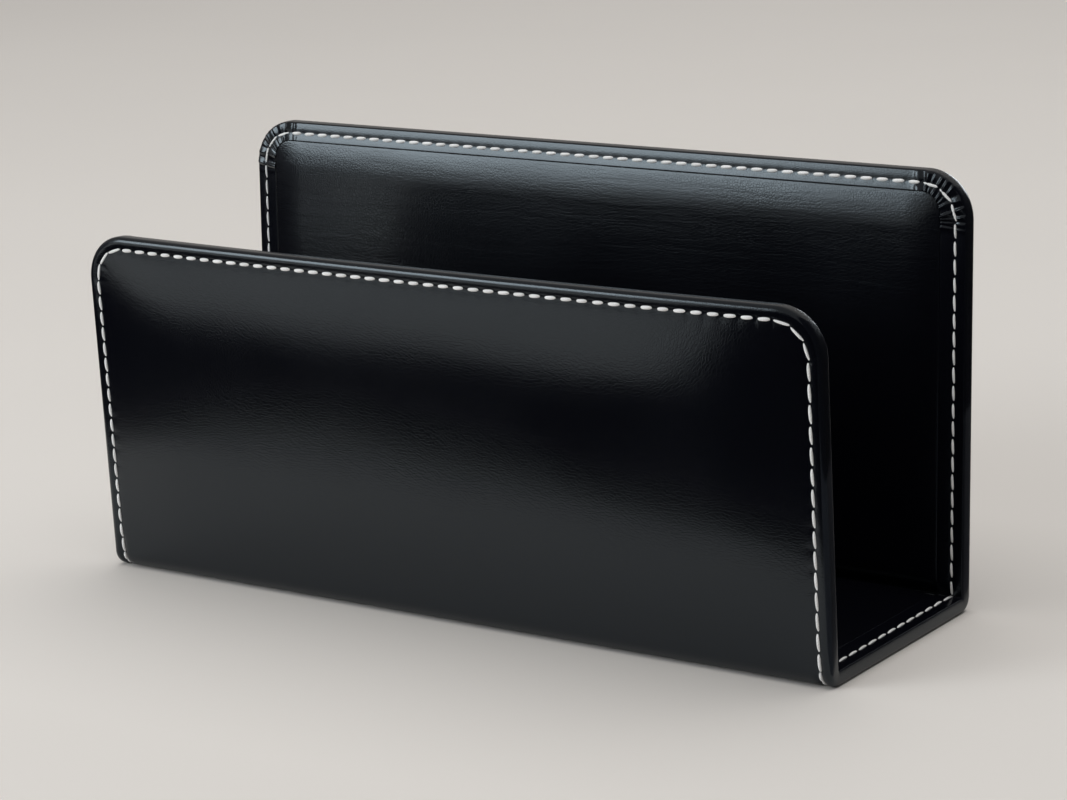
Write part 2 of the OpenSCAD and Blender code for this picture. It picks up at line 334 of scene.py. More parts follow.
class HolderLeather(bpy.types.PropertyGroup):
    """Layers, turned edges and swell of the leathers."""

    cover: Length(name="Cover", description="Thickness of the outer leather", default=0.0009)
    board: Length(name="Board", description="Thickness of the boards", default=0.001)
    lining: Length(name="Lining", description="Thickness of the lining", default=0.0006)
    edge_radius: Length(name="Edge radius", description="Rounding of the finished edge", default=0.0011)
    inner_roll: Length(name="Inner roll", description="Rounding of the edge's inner side", default=0.0004)
    crown: Length(name="Crown", description="Fall of the edge to its inner side", default=0.00013)
    turn_top: Length(
        name="Turned top", description="Width of the leather turned in along a top edge", default=0.0045
    )
    turn_side: Length(
        name="Turned side", description="Width of the leather turned in along a side", default=0.006
    )
    outer_swell: Length(name="Outer swell", description="Swell of the outer wall faces", default=0.0014)
    outer_shoulder: Length(
        name="Outer shoulder",
        description="Width of the rounded shoulder of an outer face",
        default=0.022,
    )
    outer_margin: Length(
        name="Outer margin", description="From the edge to the padding of an outer face", default=0.0034
    )
    bead: Length(
        name="Bead",
        description="How far the strip between the row and the edge stands out",
        default=0.000106,
        precision=6,
    )
    band_rise: Length(
        name="Band rise",
        description="How far the turned-in leather rises from the edge to where it is cut",
        default=0.00078,
    )
    inner_swell: Length(
        name="Inner swell", description="Swell of the lining past the turned-in leather", default=0.0009
    )
    inner_shoulder: Length(
        name="Inner shoulder", description="Width of the rounded shoulder of the lining", default=0.0085
    )
    pleats: bpy.props.IntProperty(
        name="Pleats", description="Gathers of the turned-in leather at each top corner", default=8
    )
    pleat_height: Length(name="Pleat height", description="Height of a gather", default=0.0004)


class HolderStitching(bpy.types.PropertyGroup):
    """Rows of stitches round the whole edge."""

    inset: Length(name="Inset", description="From the edge to the row", default=0.0028)
    pitch: Length(name="Pitch", description="Aimed distance between stitches", default=0.00385)
    right_pitch: Length(
        name="Front right pitch",
        description="Distance between stitches down the front wall's right side",
        default=0.0042,
    )
    left_pitch: Length(
        name="Front left pitch",
        description="Distance between stitches down the front wall's left side",
        default=0.0036,
    )
    base_pitch: Length(
        name="Base pitch", description="Distance between stitches along the base", default=0.0042
    )
    bend_pitch: Length(
        name="Bend pitch", description="Distance between stitches round a bend", default=0.0028
    )
    top_share: Share(
        name="Top share",
        description="Share of the pitch that a stitch fills along a top edge",
        default=0.71,
    )
    side_share: Share(
        name="Side share",
        description="Share of the pitch that a stitch fills down a side",
        default=0.86,
    )
    corner_share: Share(
        name="Corner share",
        description="Share of the pitch that a stitch fills round a top corner",
        default=0.93,
    )
    thread: Length(name="Thread", description="Diameter of the top thread", default=0.00086)
    under_thread: Length(
        name="Under thread", description="Diameter of the under thread", default=0.00084
    )
    proud: Length(
        name="Proud", description="How far a stitch stands out of a wall face", default=0.00036
    )
    outer_slant: Angle(
        name="Outer slant", description="Slant of the outer stitches", default=math.radians(4)
    )
    inner_slant: Angle(
        name="Inner slant", description="Slant of the inner stitches", default=math.radians(3)
    )
    sink: Length(name="Sink", description="How far the leather sinks at the row", default=0.00007)
    pucker: Length(name="Pucker", description="Depth of the dimple at a needle hole", default=0.00007)


class HolderFinish(bpy.types.PropertyGroup):
    """Colours of the pieces."""

    cover_colour: Colour(
        name="Cover", description="Colour of the outer leather", default=(0.0020, 0.0022, 0.0040)
    )
    lining_colour: Colour(
        name="Lining", description="Colour of the lining", default=(0.0017, 0.0018, 0.0032)
    )
    thread_colour: Colour(name="Thread", description="Colour of the thread", default=(0.96, 0.955, 0.94))
    board_colour: Colour(name="Board", description="Colour of the fibreboard", default=(0.30, 0.21, 0.13))
    strip_colour: Colour(
        name="Bend strip", description="Colour of the bend strips", default=(0.17, 0.12, 0.08)
    )
    foam_colour: Colour(name="Foam", description="Colour of the pads", default=(0.62, 0.58, 0.46))
    backdrop_colour: Colour(
        name="Backdrop", description="Colour seen past the floor", default=(0.36, 0.345, 0.33)
    )
    floor_colour: Colour(name="Floor", description="Colour of the floor", default=(0.66, 0.63, 0.60))


class HolderStage(bpy.types.PropertyGroup):
    """Viewpoint and light."""

    azimuth: Angle(
        name="Azimuth", description="Turn of the view round the holder", default=math.radians(35.22)
    )
    elevation: Angle(name="Elevation", description="Height of the view", default=math.radians(14.26))
    roll: Angle(name="Roll", description="Tilt of the view", default=math.radians(-2.524))
    offset: bpy.props.FloatVectorProperty(
        name="Offset",
        description="Holder's origin as seen by the camera: right, down and away",
        default=(-0.0016, 0.0415, 0.7433),
        subtype="XYZ",
        precision=4,
    )
    focal_pixels: bpy.props.FloatProperty(
        name="Focal length", description="Focal length in pixels of the picture's width", default=3338.9
    )
    surround: Colour(
        name="Surround", description="Light of the surroundings", default=(0.05, 0.05, 0.053)
    )


# Shapes of a swelling, a soft step and a dimple


def shoulder(x):
    return 1 - (1 - np.clip(x, 0, 1)) ** 2


def soft_step(x):
    x = np.clip(x, 0, 1)
    return x * x * (3 - 2 * x)


def dimple(x):
    return np.exp(-x * x)


class Loop:
    """Points round the blank, part by part.

    u runs across the blank and s along it. Each point also has its inset, its phase in the row of
    stitches, its place in a corner and the width of the leather turned in there.
    """

    def __init__(self, *parts):
        sizes = [len(phase) for u, s, inset, phase, gather, turn in parts]
        even = [[np.broadcast_to(value, size) for value in part] for part, size in zip(parts, sizes)]
        fields = [np.concatenate(field) for field in zip(*even)]
        self.u, self.s, self.inset, self.phase, self.gather, self.turn = fields
        self.starts = np.cumsum([0] + sizes)

    def parts(self, indexes):
        """Vertex indexes of each part of the loop, each with the first of the next part at its end."""
        ring = np.append(indexes, indexes[0])
        return [ring[a : b + 1] for a, b in zip(self.starts[:-1], self.starts[1:])]


class Blank:
    """Flat leather blank and the U that it is folded into.

    u runs across the width and s from the front top edge, down the front wall, across the base and
    up the back wall. Depth is measured inwards from the outer face.
    """

    def __init__(self, scene):
        shape = scene.holder_shape
        leather = scene.holder_leather
        stitching = scene.holder_stitching
        self.leather = leather
        self.stitching = stitching
        self.half = shape.width / 2
        self.corner = shape.corner_radius
        self.radius = shape.bend_radius
        self.bow = shape.front_bow
        self.centre = shape.base_depth / 2 - self.radius
        self.leans = (shape.front_lean, shape.back_lean)
        heights = (shape.front_height, shape.back_height)
        self.walls = [
            (h - self.radius + self.radius * math.sin(a)) / math.cos(a)
            for h, a in zip(heights, self.leans)
        ]
        arcs = [self.radius * (math.pi / 2 - a) for a in self.leans]
        stretches = (self.walls[0], arcs[0], 2 * self.centre, arcs[1], self.walls[1])
        self.stops = np.cumsum((0.0,) + stretches)
        self.length = self.stops[-1]
        self.board_top = leather.cover
        self.lining_top = leather.cover + leather.board
        self.turn_start = self.lining_top + leather.lining
        self.rim = self.turn_start + leather.cover
        self.straight = self.half - self.corner
        self.side_stops = self.stops.copy()
        self.side_stops[0] = self.corner
        self.side_stops[-1] = self.length - self.corner
        self.top_nodes = self.spread((-self.straight, self.straight), TOP_BESIDE, TOP_SEGMENTS)
        self.side_nodes = self.spread(self.side_stops, SIDE_BESIDE, SIDE_SEGMENTS)
        self.count_stitches()

    def spread(self, stops, beside, counts):
        """Nodes from stop to stop, with a stretch of their own beside each corner."""
        stops = np.sort(np.append(stops, (stops[0] + beside, stops[-1] - beside)))
        spans = zip(stops[:-1], stops[1:], counts)
        pieces = [np.linspace(a, b, n, endpoint=False) for a, b, n in spans]
        return np.append(np.concatenate(pieces), stops[-1])

    def count_stitches(self):
        """Stitches in each stretch of the row. Both threads share the needle holes."""
        stitching = self.stitching
        runs = np.diff(self.side_stops)
        arc = (self.corner - stitching.inset) * math.pi / 2
        bend = stitching.bend_pitch
        pitches = {
            RIGHT: (stitching.right_pitch, bend, stitching.base_pitch, bend, stitching.pitch),
            LEFT: (stitching.left_pitch, bend, stitching.base_pitch, bend, stitching.pitch),
        }
        self.top_count = round(2 * self.straight / stitching.pitch)
        self.corner_count = round(arc / stitching.pitch)
        self.side_counts = {
            side: np.cumsum([0] + [round(r / p) for r, p in zip(runs, apart)])
            for side, apart in pitches.items()
        }

    def section(self, s):
        """Outer point and inward normal of the U, in Y and Z, and the height above its bend."""
        back = s > (self.stops[2] + self.stops[3]) / 2
        run = np.where(back, self.length - s, s)
        lean = np.where(back, self.leans[1], self.leans[0])
        wall = np.where(back, self.walls[1], self.walls[0])
        turned = math.pi / 2 - lean
        up = np.maximum(wall - run, 0)
        turn = np.clip((run - wall) / self.radius, 0, turned)
        along = np.maximum(run - wall - self.radius * turned, 0)
        normal_y = np.cos(lean + turn)
        normal_z = np.sin(lean + turn)
        y = along - self.centre - self.radius * normal_y - up * np.sin(lean)
        z = self.radius - self.radius * normal_z + up * np.cos(lean)
        flip = np.where(back, -1.0, 1.0)
        return flip * y, z, flip * normal_y, normal_z, up

    def fold(self, u, s, depth):
        """Points of the folded holder."""
        y, z, normal_y, normal_z, up = self.section(s)
        front = s < self.stops[1]
        lift = np.where(front, (up / self.walls[0]) ** BOW_POWER, 0.0)
        inward = depth - self.bow * (1 - (u / self.half) ** 2) * lift
        return np.column_stack((np.broadcast_to(u, y.shape), y + inward * normal_y, z + inward * normal_z))

    def loop(self, top, side, step=1, corners=CORNER_SEGMENTS):
        """Loop at the insets top and side, which run into each other round the corners."""
        r = self.corner
        a = self.straight
        end = self.length - r
        arc = r * math.pi / 2
        across = self.top_nodes[::step]
        down = self.side_nodes[::step]
        share = np.linspace(0, 1, corners, endpoint=False) if corners else np.zeros(0)
        cos = np.cos(share * math.pi / 2)
        sin = np.sin(share * math.pi / 2)
        blend = soft_step(share)
        away = top + (side - top) * blend
        back = side + (top - side) * blend
        wide = self.leather.turn_side
        slim = self.leather.turn_top
        widen = slim + (wide - slim) * blend
        narrow = wide + (slim - wide) * blend
        row = (across[:-1] + a) / (2 * a) * self.top_count
        turn = share * self.corner_count
        right = np.interp(down, self.side_stops, self.side_counts[RIGHT])
        left = np.interp(down, self.side_stops, self.side_counts[LEFT])
        beyond = np.where(across < 0, 1 + (across + a) / arc, (across - a) / arc)[:-1]
        before = np.where(down > self.length / 2, (down - end) / arc, 1 + (down - r) / arc)
        after = np.where(down > self.length / 2, 1 + (end - down) / arc, (r - down) / arc)
        return Loop(
            (across[:-1], top, top, row, beyond, slim),
            (a + (r - away) * sin, r - (r - away) * cos, away, turn, share, widen),
            (self.half - side, down[:-1], side, right[:-1], before[:-1], wide),
            (a + (r - back) * cos, end + (r - back) * sin, back, turn, share, narrow),
            (-across[:-1], self.length - top, top, row, beyond, slim),
            (-a - (r - away) * sin, end + (r - away) * cos, away, turn, share, widen),
            (side - self.half, down[:0:-1], side, left[:0:-1], after[:0:-1], wide),
            (-a - (r - back) * cos, r - (r - back) * sin, back, turn, share, narrow),
        )

    def run_from_top(self, s):
        """Distance from the nearer top edge, and the height of that edge's wall."""
        back = s > self.length / 2
        return np.where(back, self.length - s, s), np.where(back, self.walls[1], self.walls[0])

    def on_wall(self, s):
        """1 on the walls, 0 in the bends and on the base."""
        run, wall = self.run_from_top(s)
        return soft_step((wall - run) / WALL_FADE)

    def outer_swell(self, u, s):
        """Swell of the padded outer faces."""
        leather = self.leather
        run, wall = self.run_from_top(s)
        wide = leather.outer_shoulder
        from_top = shoulder((run - leather.outer_margin) / wide)
        from_foot = shoulder((wall - run - FOOT_GAP) / (FOOT_STRETCH * wide))
        from_side = shoulder((self.half - leather.outer_margin - np.abs(u)) / wide)
        return leather.outer_swell * from_top * from_foot * from_side

    def off_bend(self, s):
        """1 on the walls and the base, falling to 0 in the bends."""
        run, wall = self.run_from_top(s)
        turned = math.pi / 2 - np.where(s > self.length / 2, self.leans[1], self.leans[0])
        past = run - wall - self.radius * turned
        return shoulder(np.maximum(wall - run, past) / BEND_FADE)

    def band_lift(self, loop):
        """Rise of the turned-in leather from the edge to where it is cut."""
        start = self.leather.crown + self.leather.inner_roll
        share = np.clip((loop.inset - start) / (loop.turn - start), 0, 1)
        return self.leather.band_rise * share * self.off_bend(loop.s)

    def inner_swell(self, u, s):
        """Swell of the lining: level with the turned-in leather, then a little fuller."""
        leather = self.leather
        run = self.run_from_top(s)[0]
        from_top = shoulder((run - leather.turn_top) / leather.inner_shoulder)
        from_side = shoulder((self.half - leather.turn_side - np.abs(u)) / leather.inner_shoulder)
        fuller = leather.inner_swell * from_top * from_side
        flat = self.off_bend(s)
        level = leather.cover * (BEND_PADDING + (1 - BEND_PADDING) * flat)
        return level + (leather.band_rise + fuller) * flat

    def ripple(self, u, s):
        """Slight unevenness of leather stretched by hand."""
        return RIPPLE_HEIGHT * sum(k * np.sin(a * u + b * s + c) for a, b, c, k in RIPPLES)

    def dimples(self, loop):
        """1 at each needle hole of the row, falling away along it."""
        apart = np.abs(loop.phase - np.round(loop.phase)) * self.stitching.pitch
        return dimple(apart / HOLE_LENGTH)

    def outer_relief(self, loop):
        """How far the outer face stands out at the points of a loop."""
        stitching = self.stitching
        wall = self.on_wall(loop.s)
        t = loop.inset
        groove = stitching.thread * GROOVE_SHARE
        sink = groove + (stitching.sink - groove) * wall
        row = -sink * dimple((t - stitching.inset) / ROW_WIDTH)
        tuck = np.where(t > stitching.inset, TUCK_INSIDE, TUCK_OUTSIDE)
        holes = -stitching.pucker * self.dimples(loop) * dimple((t - stitching.inset) / tuck) * wall
        strip = self.leather.bead * shoulder((stitching.inset - BEAD_GAP - t) / BEAD_WIDTH) * wall
        swell = self.outer_swell(loop.u, loop.s)
        inside = soft_step((t - stitching.inset) / RIPPLE_START)
        return swell + strip + row + holes + self.ripple(loop.u, loop.s) * wall * inside

    def pleat(self, loop):
        """Uneven gathers of the turned-in leather round the top corners."""
        leather = self.leather
        edge = leather.edge_radius
        own = np.where(loop.u > 0, 0.0, LEFT_PHASE)
        own = own + np.where(loop.s > self.length / 2, 0.0, FRONT_PHASE)
        reach = (loop.inset - edge) / (leather.turn_top - edge)
        sway = SWAY * np.sin(SWAY_RATE * loop.gather + own)
        sway = sway + FAR_SWAY * reach * np.sin(FAR_SWAY_RATE * loop.gather + 2 * own)
        place = (loop.gather + sway) * leather.pleats
        which = np.floor(place)
        across = place - which
        crest = PLEAT_CREST + PLEAT_DRIFT * np.sin(DRIFT_RATE * which + own)
        rise = (across / crest) ** FOLD_POWER
        fold = np.where(across < crest, rise, (1 - across) / (1 - crest))
        size = FOLD_SIZE + FOLD_VARIATION * np.sin(FOLD_RATE * which + own)
        first = soft_step((loop.gather + PLEAT_OVERRUN) / PLEAT_FADE)
        last = soft_step((1 + PLEAT_OVERRUN - loop.gather) / PLEAT_FADE)
        grow = soft_step((loop.inset + PLEAT_LEAD) / PLEAT_GROWTH)
        row = 1 - PLEAT_AT_ROW * dimple((loop.inset - self.stitching.inset) / INNER_ROW_WIDTH)
        return leather.pleat_height * size * fold * first * last * grow * row

    def band_relief(self, loop):
        """How far the turned-in leather stands out at the points of a loop."""
        stitching = self.stitching
        t = loop.inset
        row = -stitching.sink * dimple((t - stitching.inset) / INNER_ROW_WIDTH)
        near = dimple((t - stitching.inset) / ROW_WIDTH)
        holes = -INNER_HOLE_SHARE * stitching.pucker * self.dimples(loop) * near
        bump = soft_step(t / PILLOW_START) - soft_step((t - PILLOW_END) / PILLOW_FADE)
        pillow = PILLOW_HEIGHT * bump * self.on_wall(loop.s)
        return self.band_lift(loop) + pillow + row + holes + self.pleat(loop)


class Skin:
    """Points and faces of one closed piece."""

    def __init__(self):
        self.points = []
        self.faces = []
        self.size = 0

    def add(self, points):
        first = self.size
        self.points.append(points)
        self.size += len(points)
        return np.arange(first, self.size)

    def zip_up(self, a, b):
        """Faces between two rows of vertices whose counts may differ."""
        last_a = len(a) - 1
        last_b = len(b) - 1
        i = 0
        j = 0
        while i < last_a or j < last_b:
            next_a = (i + 1) * last_b if i < last_a else math.inf
            next_b = (j + 1) * last_a if j < last_b else math.inf
            if last_b == 0:
                next_a = 0
            if last_a == 0:
                next_b = 0
            if next_a == next_b:
                self.faces.append((a[i], a[i + 1], b[j + 1], b[j]))
                i += 1
                j += 1
            elif next_a < next_b:
                self.faces.append((a[i], a[i + 1], b[j]))
                i += 1
            else:
                self.faces.append((a[i], b[j + 1], b[j]))
                j += 1

    def quilt(self, grid, outward):
        """Faces of a grid of vertices, rows along s and columns along u."""
        a = grid[:-1, :-1].ravel()
        b = grid[1:, :-1].ravel()
        c = grid[1:, 1:].ravel()
        d = grid[:-1, 1:].ravel()
        order = (a, b, c, d) if outward else (a, d, c, b)
        self.faces.extend(zip(*(side.tolist() for side in order)))

    def build(self, name, material):
        mesh = bpy.data.meshes.new(name)
        points = np.concatenate(self.points)
        mesh.from_pydata(points.tolist(), [], [tuple(int(v) for v in f) for f in self.faces])
        mesh.materials.append(material)
        mesh.shade_smooth()
        if mesh.validate():
            raise RuntimeError(f"{name} has faulty faces")
        thing = bpy.data.objects.new(name, mesh)
        bpy.context.scene.collection.objects.link(thing)
        return thing


class Sheet(Skin):
    """Skin of one leather, laid in loops from one face round the edge to the other."""

    def __init__(self, blank):
        super().__init__()
        self.blank = blank
        self.loops = []

    def lay(self, loop, depth):
        points = self.blank.fold(loop.u, loop.s, depth)
        self.loops.append(loop.parts(self.add(points)))

    def fill(self, parts, step, depth, outward):
        """Closes the innermost loop of a face with a grid at the depth that a function gives."""
        across = self.blank.top_nodes[::step]
        down = self.blank.side_nodes[::step]
        grid = np.zeros((len(down), len(across)), int)
        u, s = np.meshgrid(across[1:-1], down[1:-1])
        u = u.ravel()
        s = s.ravel()
        inner = self.add(self.blank.fold(u, s, depth(u, s)))
        grid[1:-1, 1:-1] = inner.reshape(len(down) - 2, len(across) - 2)
        grid[0, :] = parts[FRONT_TOP]
        grid[:, -1] = parts[RIGHT]
        grid[-1, ::-1] = parts[BACK_TOP]
        grid[::-1, 0] = parts[LEFT]
        self.quilt(grid, outward)

    def close(self, first_step, first_depth, last_step, last_depth):
        """Fills both faces and joins the loops between them."""
        self.fill(self.loops[0], first_step, first_depth, True)
        for ring, following in zip(self.loops[:-1], self.loops[1:]):
            for a, b in zip(ring, following):
                self.zip_up(a, b)
        self.fill(self.loops[-1], last_step, last_depth, False)


def settle(thing, slot, *nodes):
    """Ties a finished piece to the frame."""
    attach(thing, BODY)
    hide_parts(*nodes)
    return thing


# Node helpers


def feed(tree, node, name, value):
    """Sets an input, or links it when the value is a socket."""
    socket = node.inputs[name]
    if isinstance(value, bpy.types.NodeSocket):
        tree.links.new(value, socket)
    else:
        socket.default_value = value


def put(tree, kind, inputs=None, **settings):
    """New node with its settings made and its inputs fed."""
    node = tree.nodes.new(kind)
    for key, value in settings.items():
        setattr(node, key, value)
    for name, value in (inputs or {}).items():
        feed(tree, node, name, value)
    return node


def sum_up(tree, operation, *values):
    return put(tree, "ShaderNodeMath", dict(enumerate(values)), operation=operation).outputs[0]


def new_group(name, kind, inputs, outputs):
    """New node group with its sockets: its tree, what it is given and where it ends."""
    tree = bpy.data.node_groups.new(name, kind)
    for label, socket_kind, *default in inputs:
        socket = tree.interface.new_socket(label, in_out="INPUT", socket_type=socket_kind)
        if default:
            socket.default_value = default[0]
    for label, socket_kind in outputs:
        tree.interface.new_socket(label, in_out="OUTPUT", socket_type=socket_kind)
    return tree, put(tree, "NodeGroupInput").outputs, put(tree, "NodeGroupOutput")


def leather_surface():
    """Shader group: fine grain, long shallow creases and uneven gloss of smooth leather, and a tone of
    random clouds with painted shade in the creases.
    """
    name = "leather surface"
    if name in bpy.data.node_groups:
        return bpy.data.node_groups[name]
    inputs = (
        ("Place", VECTOR),
        ("Crease Place", VECTOR),
        ("Grain Scale", NUMBER),
        ("Crease Scale", NUMBER),
        ("Crease Share", NUMBER),
        ("Dull", NUMBER),
        ("Bright", NUMBER),
    )
    outputs = (("Tone", NUMBER), ("Roughness", NUMBER), ("Height", NUMBER))
    tree, given, leave = new_group(name, "ShaderNodeTree", inputs, outputs)
    pores = put(
        tree,
        "ShaderNodeTexVoronoi",
        {"Vector": given["Place"], "Scale": given["Grain Scale"]},
        feature="DISTANCE_TO_EDGE",
    )
    plateau = put(
        tree,
        "ShaderNodeMapRange",
        {"Value": pores.outputs["Distance"], "From Max": 0.22},
        interpolation_type="SMOOTHSTEP",
    ).outputs[0]
    crease_inputs = {
        "Vector": given["Crease Place"],
        "Scale": given["Crease Scale"],
        "Detail": 5.0,
        "Roughness": 0.62,
        "Distortion": 0.6,
    }
    crease_height_and_shade = put(tree, "ShaderNodeTexNoise", crease_inputs).outputs["Fac"]
    cloud_inputs = {"Vector": given["Place"], "Scale": 28.0, "Detail": 3.0}
    clouds = put(tree, "ShaderNodeTexNoise", cloud_inputs).outputs["Fac"]
    blend_inputs = {
        "Value": clouds,
        "From Min": 0.3,
        "From Max": 0.7,
        "To Min": given["Bright"],
        "To Max": given["Dull"],
    }
    blend = put(tree, "ShaderNodeMapRange", blend_inputs).outputs[0]
    pits = sum_up(tree, "MULTIPLY_ADD", plateau, -0.05, blend)
    grain = sum_up(tree, "MULTIPLY", plateau, 0.35)
    depth = sum_up(tree, "MULTIPLY", crease_height_and_shade, given["Crease Share"])
    tone = sum_up(tree, "MULTIPLY", clouds, 0.6)
    feed(tree, leave, "Height", sum_up(tree, "ADD", grain, depth))
    feed(tree, leave, "Roughness", sum_up(tree, "ADD", pits, 0.03))
    # Tone: random clouds, plus painted shade that darkens the leather where the creases sink and lightens
    # their ridges
    feed(tree, leave, "Tone", sum_up(tree, "MULTIPLY_ADD", crease_height_and_shade, 0.4, tone))
    return tree


def fibre_surface():
    """Shader group: matted fibres of board, strip and foam."""
    name = "fibre surface"
    if name in bpy.data.node_groups:
        return bpy.data.node_groups[name]
    inputs = (("Place", VECTOR), ("Fibre Scale", NUMBER), ("Fleck Scale", NUMBER))
    outputs = (("Tone", NUMBER), ("Height", NUMBER))
    tree, given, leave = new_group(name, "ShaderNodeTree", inputs, outputs)
    fibre_inputs = {
        "Vector": given["Place"],
        "Scale": given["Fibre Scale"],
        "Detail": 4.0,
        "Distortion": 1.2,
    }
    fibres = put(tree, "ShaderNodeTexNoise", fibre_inputs).outputs["Fac"]
    fleck_inputs = {"Vector": given["Place"], "Scale": given["Fleck Scale"]}
    flecks = put(tree, "ShaderNodeTexVoronoi", fleck_inputs).outputs["Distance"]
    mixed = sum_up(tree, "MULTIPLY", flecks, 0.5)
    feed(tree, leave, "Height", sum_up(tree, "MULTIPLY_ADD", fibres, 0.6, mixed))
    feed(tree, leave, "Tone", fibres)
    return tree


def two_tones(tree, colour, low, high, factor):
    """Colour that varies between a darker and a lighter shade of itself."""
    dark = [low * c for c in colour] + [1]
    light = [min(1, high * c) for c in colour] + [1]
    return put(tree, "ShaderNodeMix", {0: factor, 6: dark, 7: light}, data_type="RGBA").outputs[2]


def start_material(name):
    """New material, its tree, its surface shader and the object coordinates."""
    material = bpy.data.materials.new(name)
    material.use_nodes = True
    tree = material.node_tree
    shader = tree.nodes["Principled BSDF"]
    place = put(tree, "ShaderNodeTexCoord").outputs["Object"]
    return material, tree, shader, place


def raise_surface(tree, shader, height, strength, distance):
    bump_inputs = {"Strength": strength, "Distance": distance, "Height": height}
    feed(tree, shader, "Normal", put(tree, "ShaderNodeBump", bump_inputs).outputs["Normal"])


def leather_material(name, colour, dull, bright, stretch, fineness, creases, relief):
    material, tree, shader, place = start_material(name)
    stretched = put(tree, "ShaderNodeMapping", {"Vector": place, "Scale": stretch})
    inputs = {
        "Place": place,
        "Crease Place": stretched.outputs["Vector"],
        "Grain Scale": GRAIN_SCALE,
        "Crease Scale": fineness,
        "Crease Share": creases,
        "Dull": dull,
        "Bright": bright,
    }
    surface = put(tree, "ShaderNodeGroup", inputs, node_tree=leather_surface()).outputs
    # Base colour: random clouds and painted shade in the creases, from the surface group's tone
    feed(tree, shader, "Base Color", two_tones(tree, colour, *LEATHER_SHADES, surface["Tone"]))
    feed(tree, shader, "Roughness", surface["Roughness"])
    raise_surface(tree, shader, surface["Height"], relief, GRAIN_DEPTH)
    feed(tree, shader, "IOR", LEATHER_IOR)
    feed(tree, shader, "Specular Tint", LEATHER_TINT)
    return material


def thread_material(colour):
    """Twisted thread: the ply follows an attribute that runs along and round each stitch. Painted shade
    darkens the grooves between the plies, and each stitch has a random tone.
    """
    material, tree, shader, place = start_material("white_thread")
    twist = put(tree, "ShaderNodeAttribute", attribute_name="twist").outputs["Fac"]
    shade = put(tree, "ShaderNodeAttribute", attribute_name="shade").outputs["Fac"]
    wave = sum_up(tree, "SINE", sum_up(tree, "MULTIPLY", twist, PLY_RATE))
    ply = sum_up(tree, "MULTIPLY_ADD", wave, 0.5, 0.5)
    fuzz = put(tree, "ShaderNodeTexNoise", {"Vector": place, "Scale": 6000.0}).outputs["Fac"]
    # Tone: random for each stitch, plus painted shade that darkens the grooves between the plies
    tone = sum_up(tree, "MULTIPLY_ADD", ply, 0.45, sum_up(tree, "MULTIPLY", shade, 0.55))
    feed(tree, shader, "Base Color", two_tones(tree, colour, *THREAD_SHADES, tone))
    raise_surface(tree, shader, sum_up(tree, "MULTIPLY_ADD", fuzz, 0.3, ply), 0.6, PLY_DEPTH)
    feed(tree, shader, "Roughness", 0.62)
    feed(tree, shader, "Sheen Weight", 0.15)
    return material


def fibre_material(name, colour, fibres, flecks, roughness):
    material, tree, shader, place = start_material(name)
    inputs = {"Place": place, "Fibre Scale": fibres, "Fleck Scale": flecks}
    surface = put(tree, "ShaderNodeGroup", inputs, node_tree=fibre_surface()).outputs
    feed(tree, shader, "Base Color", two_tones(tree, colour, *FIBRE_SHADES, surface["Tone"]))
    raise_surface(tree, shader, surface["Height"], 0.5, FIBRE_DEPTH)
    feed(tree, shader, "Roughness", roughness)
    return material


